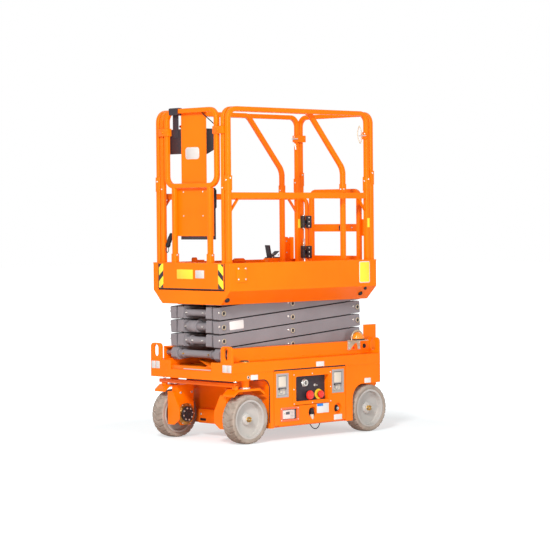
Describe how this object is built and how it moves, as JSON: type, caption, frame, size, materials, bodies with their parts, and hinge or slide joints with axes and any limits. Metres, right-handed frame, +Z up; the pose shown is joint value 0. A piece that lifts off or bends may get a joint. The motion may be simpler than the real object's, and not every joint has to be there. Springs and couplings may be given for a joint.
{
  "type": "scissor lift",
  "caption": "Compact self-propelled scissor lift with a folding arm stack, guard-railed platform, roll-out deck, steered front wheels and side doors.",
  "frame": {"origin": "centre of the bounding box footprint at ground level", "axes": "+X forward to the steered end, +Y to the machine's left, +Z up"},
  "size_m": [1.43, 0.766, 2.0833],
  "materials": {
    "orange_paint": "gloss",
    "grey_paint": "satin",
    "dark_plastic": "matt",
    "dark_metal": "satin",
    "zinc_steel": "satin",
    "chrome_rod": "polished",
    "amber_lens": "gloss",
    "motor_brass": "satin",
    "tyre_rubber": "matt",
    "rim_paint": "satin"
  },
  "bodies": {
    "chassis": {"chassis_frame": "orange_paint", "scissor_channels": "orange_paint", "lifting_lugs": "orange_paint", "ladder": "orange_paint", "rear_axle": "dark_metal", "battery_pack": "dark_metal", "hydraulic_unit": "dark_metal", "beacon": "amber_lens", "beacon_guard": "zinc_steel"},
    "door_left": {"door_left": "orange_paint", "door_left_latches": "zinc_steel", "ground_controls": "dark_plastic"},
    "door_right": {"door_right": "orange_paint", "door_right_latches": "zinc_steel"},
    "knuckle_left": {"knuckle_left": "orange_paint", "drive_motor_left": "motor_brass"},
    "knuckle_right": {"knuckle_right": "orange_paint", "drive_motor_right": "motor_brass"},
    "tie_rod": {"tie_rod": "orange_paint"},
    "wheel_front_left": {"tyre_front_left": "tyre_rubber", "rim_front_left": "rim_paint"},
    "wheel_front_right": {"tyre_front_right": "tyre_rubber", "rim_front_right": "rim_paint"},
    "wheel_rear_left": {"tyre_rear_left": "tyre_rubber", "rim_rear_left": "rim_paint"},
    "wheel_rear_right": {"tyre_rear_right": "tyre_rubber", "rim_rear_right": "rim_paint"},
    "outer_1": {"outer_arms_1": "grey_paint"},
    "inner_1": {"inner_arms_1": "grey_paint"},
    "outer_2": {"outer_arms_2": "grey_paint"},
    "inner_2": {"inner_arms_2": "grey_paint"},
    "outer_3": {"outer_arms_3": "grey_paint"},
    "inner_3": {"inner_arms_3": "grey_paint"},
    "outer_4": {"outer_arms_4": "grey_paint"},
    "inner_4": {"inner_arms_4": "grey_paint"},
    "barrel": {"lift_barrel": "dark_metal"},
    "rod": {"lift_rod": "chrome_rod"},
    "platform": {"platform_deck": "orange_paint", "lower_rails": "orange_paint", "side_rail_left": "orange_paint", "side_rail_right": "orange_paint", "rear_rail": "orange_paint", "gate_hinges": "dark_metal", "foot_pedal": "dark_plastic"},
    "gate": {"gate_frame": "orange_paint"},
    "extension": {"extension_deck": "orange_paint", "extension_rails": "orange_paint", "front_loop": "orange_paint", "loop_plates": "orange_paint", "control_box": "dark_plastic", "document_box": "dark_plastic"}
  },
  "joints": [
    {"name": "lift", "type": "hinge", "parent": "chassis", "child": "outer_1", "pos_m": [0.641, 0, 0.5465], "axis": [0, 1, 0], "range_deg": [0, 51]},
    {"name": "cross_1", "type": "hinge", "parent": "outer_1", "child": "inner_1", "pos_m": [0.0475, 0, 0.58965], "axis": [0, 1, 0], "range_deg": [-102.5, 0.5]},
    {"name": "link_1", "type": "hinge", "parent": "inner_1", "child": "outer_2", "pos_m": [0.641, 0, 0.6328], "axis": [0, 1, 0], "range_deg": [-0.5, 102.5]},
    {"name": "cross_2", "type": "hinge", "parent": "outer_2", "child": "inner_2", "pos_m": [0.0475, 0, 0.67595], "axis": [0, 1, 0], "range_deg": [-102.5, 0.5]},
    {"name": "link_2", "type": "hinge", "parent": "inner_2", "child": "outer_3", "pos_m": [0.641, 0, 0.7191], "axis": [0, 1, 0], "range_deg": [-0.5, 102.5]},
    {"name": "cross_3", "type": "hinge", "parent": "outer_3", "child": "inner_3", "pos_m": [0.0475, 0, 0.76225], "axis": [0, 1, 0], "range_deg": [-102.5, 0.5]},
    {"name": "link_3", "type": "hinge", "parent": "inner_3", "child": "outer_4", "pos_m": [0.641, 0, 0.8054], "axis": [0, 1, 0], "range_deg": [-0.5, 102.5]},
    {"name": "cross_4", "type": "hinge", "parent": "outer_4", "child": "inner_4", "pos_m": [0.0475, 0, 0.84855], "axis": [0, 1, 0], "range_deg": [-102.5, 0.5]},
    {"name": "platform_pivot", "type": "hinge", "parent": "inner_4", "child": "platform", "pos_m": [0.641, 0, 0.8917], "axis": [0, 1, 0], "range_deg": [-0.5, 51.5]},
    {"name": "barrel_pivot", "type": "hinge", "parent": "inner_2", "child": "barrel", "pos_m": [0.641, 0, 0.7191], "axis": [0, 1, 0], "range_deg": [-0.5, 110.38]},
    {"name": "rod_slide", "type": "slide", "parent": "barrel", "child": "rod", "axis": [-0.9941, 0, 0.1084], "range_m": [-0.002, 0.339]},
    {"name": "deck_roll_out", "type": "slide", "parent": "platform", "child": "extension", "axis": [1, 0, 0], "range_m": [0, 0.6]},
    {"name": "gate_swing", "type": "hinge", "parent": "platform", "child": "gate", "pos_m": [-0.553, -0.27175, 1.3], "axis": [0, 0, -1], "range_deg": [0, 90]},
    {"name": "door_left_drop", "type": "hinge", "parent": "chassis", "child": "door_left", "pos_m": [0.0425, 0.37, 0.098], "axis": [-1, 0, 0], "range_deg": [0, 90]},
    {"name": "door_right_drop", "type": "hinge", "parent": "chassis", "child": "door_right", "pos_m": [0.0425, -0.37, 0.098], "axis": [1, 0, 0], "range_deg": [0, 90]},
    {"name": "steer_left", "type": "hinge", "parent": "chassis", "child": "knuckle_left", "pos_m": [0.562, 0.33, 0.33], "axis": [0, 0, 1], "range_deg": [-55, 55]},
    {"name": "steer_right", "type": "hinge", "parent": "chassis", "child": "knuckle_right", "pos_m": [0.562, -0.33, 0.33], "axis": [0, 0, 1], "range_deg": [-55, 55]},
    {"name": "tie_rod_pivot", "type": "hinge", "parent": "knuckle_left", "child": "tie_rod", "pos_m": [0.644, 0.33, 0.369], "axis": [0, 0, 1], "range_deg": [-55, 55]},
    {"name": "wheel_front_left_spin", "type": "hinge", "parent": "knuckle_left", "child": "wheel_front_left", "pos_m": [0.562, 0.33, 0.1525], "axis": [0, 1, 0], "continuous": true},
    {"name": "wheel_front_right_spin", "type": "hinge", "parent": "knuckle_right", "child": "wheel_front_right", "pos_m": [0.562, -0.33, 0.1525], "axis": [0, 1, 0], "continuous": true},
    {"name": "wheel_rear_left_spin", "type": "hinge", "parent": "chassis", "child": "wheel_rear_left", "pos_m": [-0.506, 0.33, 0.1525], "axis": [0, 1, 0], "continuous": true},
    {"name": "wheel_rear_right_spin", "type": "hinge", "parent": "chassis", "child": "wheel_rear_right", "pos_m": [-0.506, -0.33, 0.1525], "axis": [0, 1, 0], "continuous": true}
  ],
  "couplings": [
    {"joint": "cross_1", "follows": "lift", "ratio": -2},
    {"joint": "link_1", "follows": "lift", "ratio": 2},
    {"joint": "cross_2", "follows": "lift", "ratio": -2},
    {"joint": "link_2", "follows": "lift", "ratio": 2},
    {"joint": "cross_3", "follows": "lift", "ratio": -2},
    {"joint": "link_3", "follows": "lift", "ratio": 2},
    {"joint": "cross_4", "follows": "lift", "ratio": -2},
    {"joint": "platform_pivot", "follows": "lift", "ratio": 1},
    {"joint": "barrel_pivot", "follows": "lift", "ratio": 2.1545},
    {"joint": "rod_slide", "follows": "lift", "m_per_rad": 0.37857},
    {"joint": "steer_right", "follows": "steer_left", "ratio": 1},
    {"joint": "tie_rod_pivot", "follows": "steer_left", "ratio": -1}
  ]
}
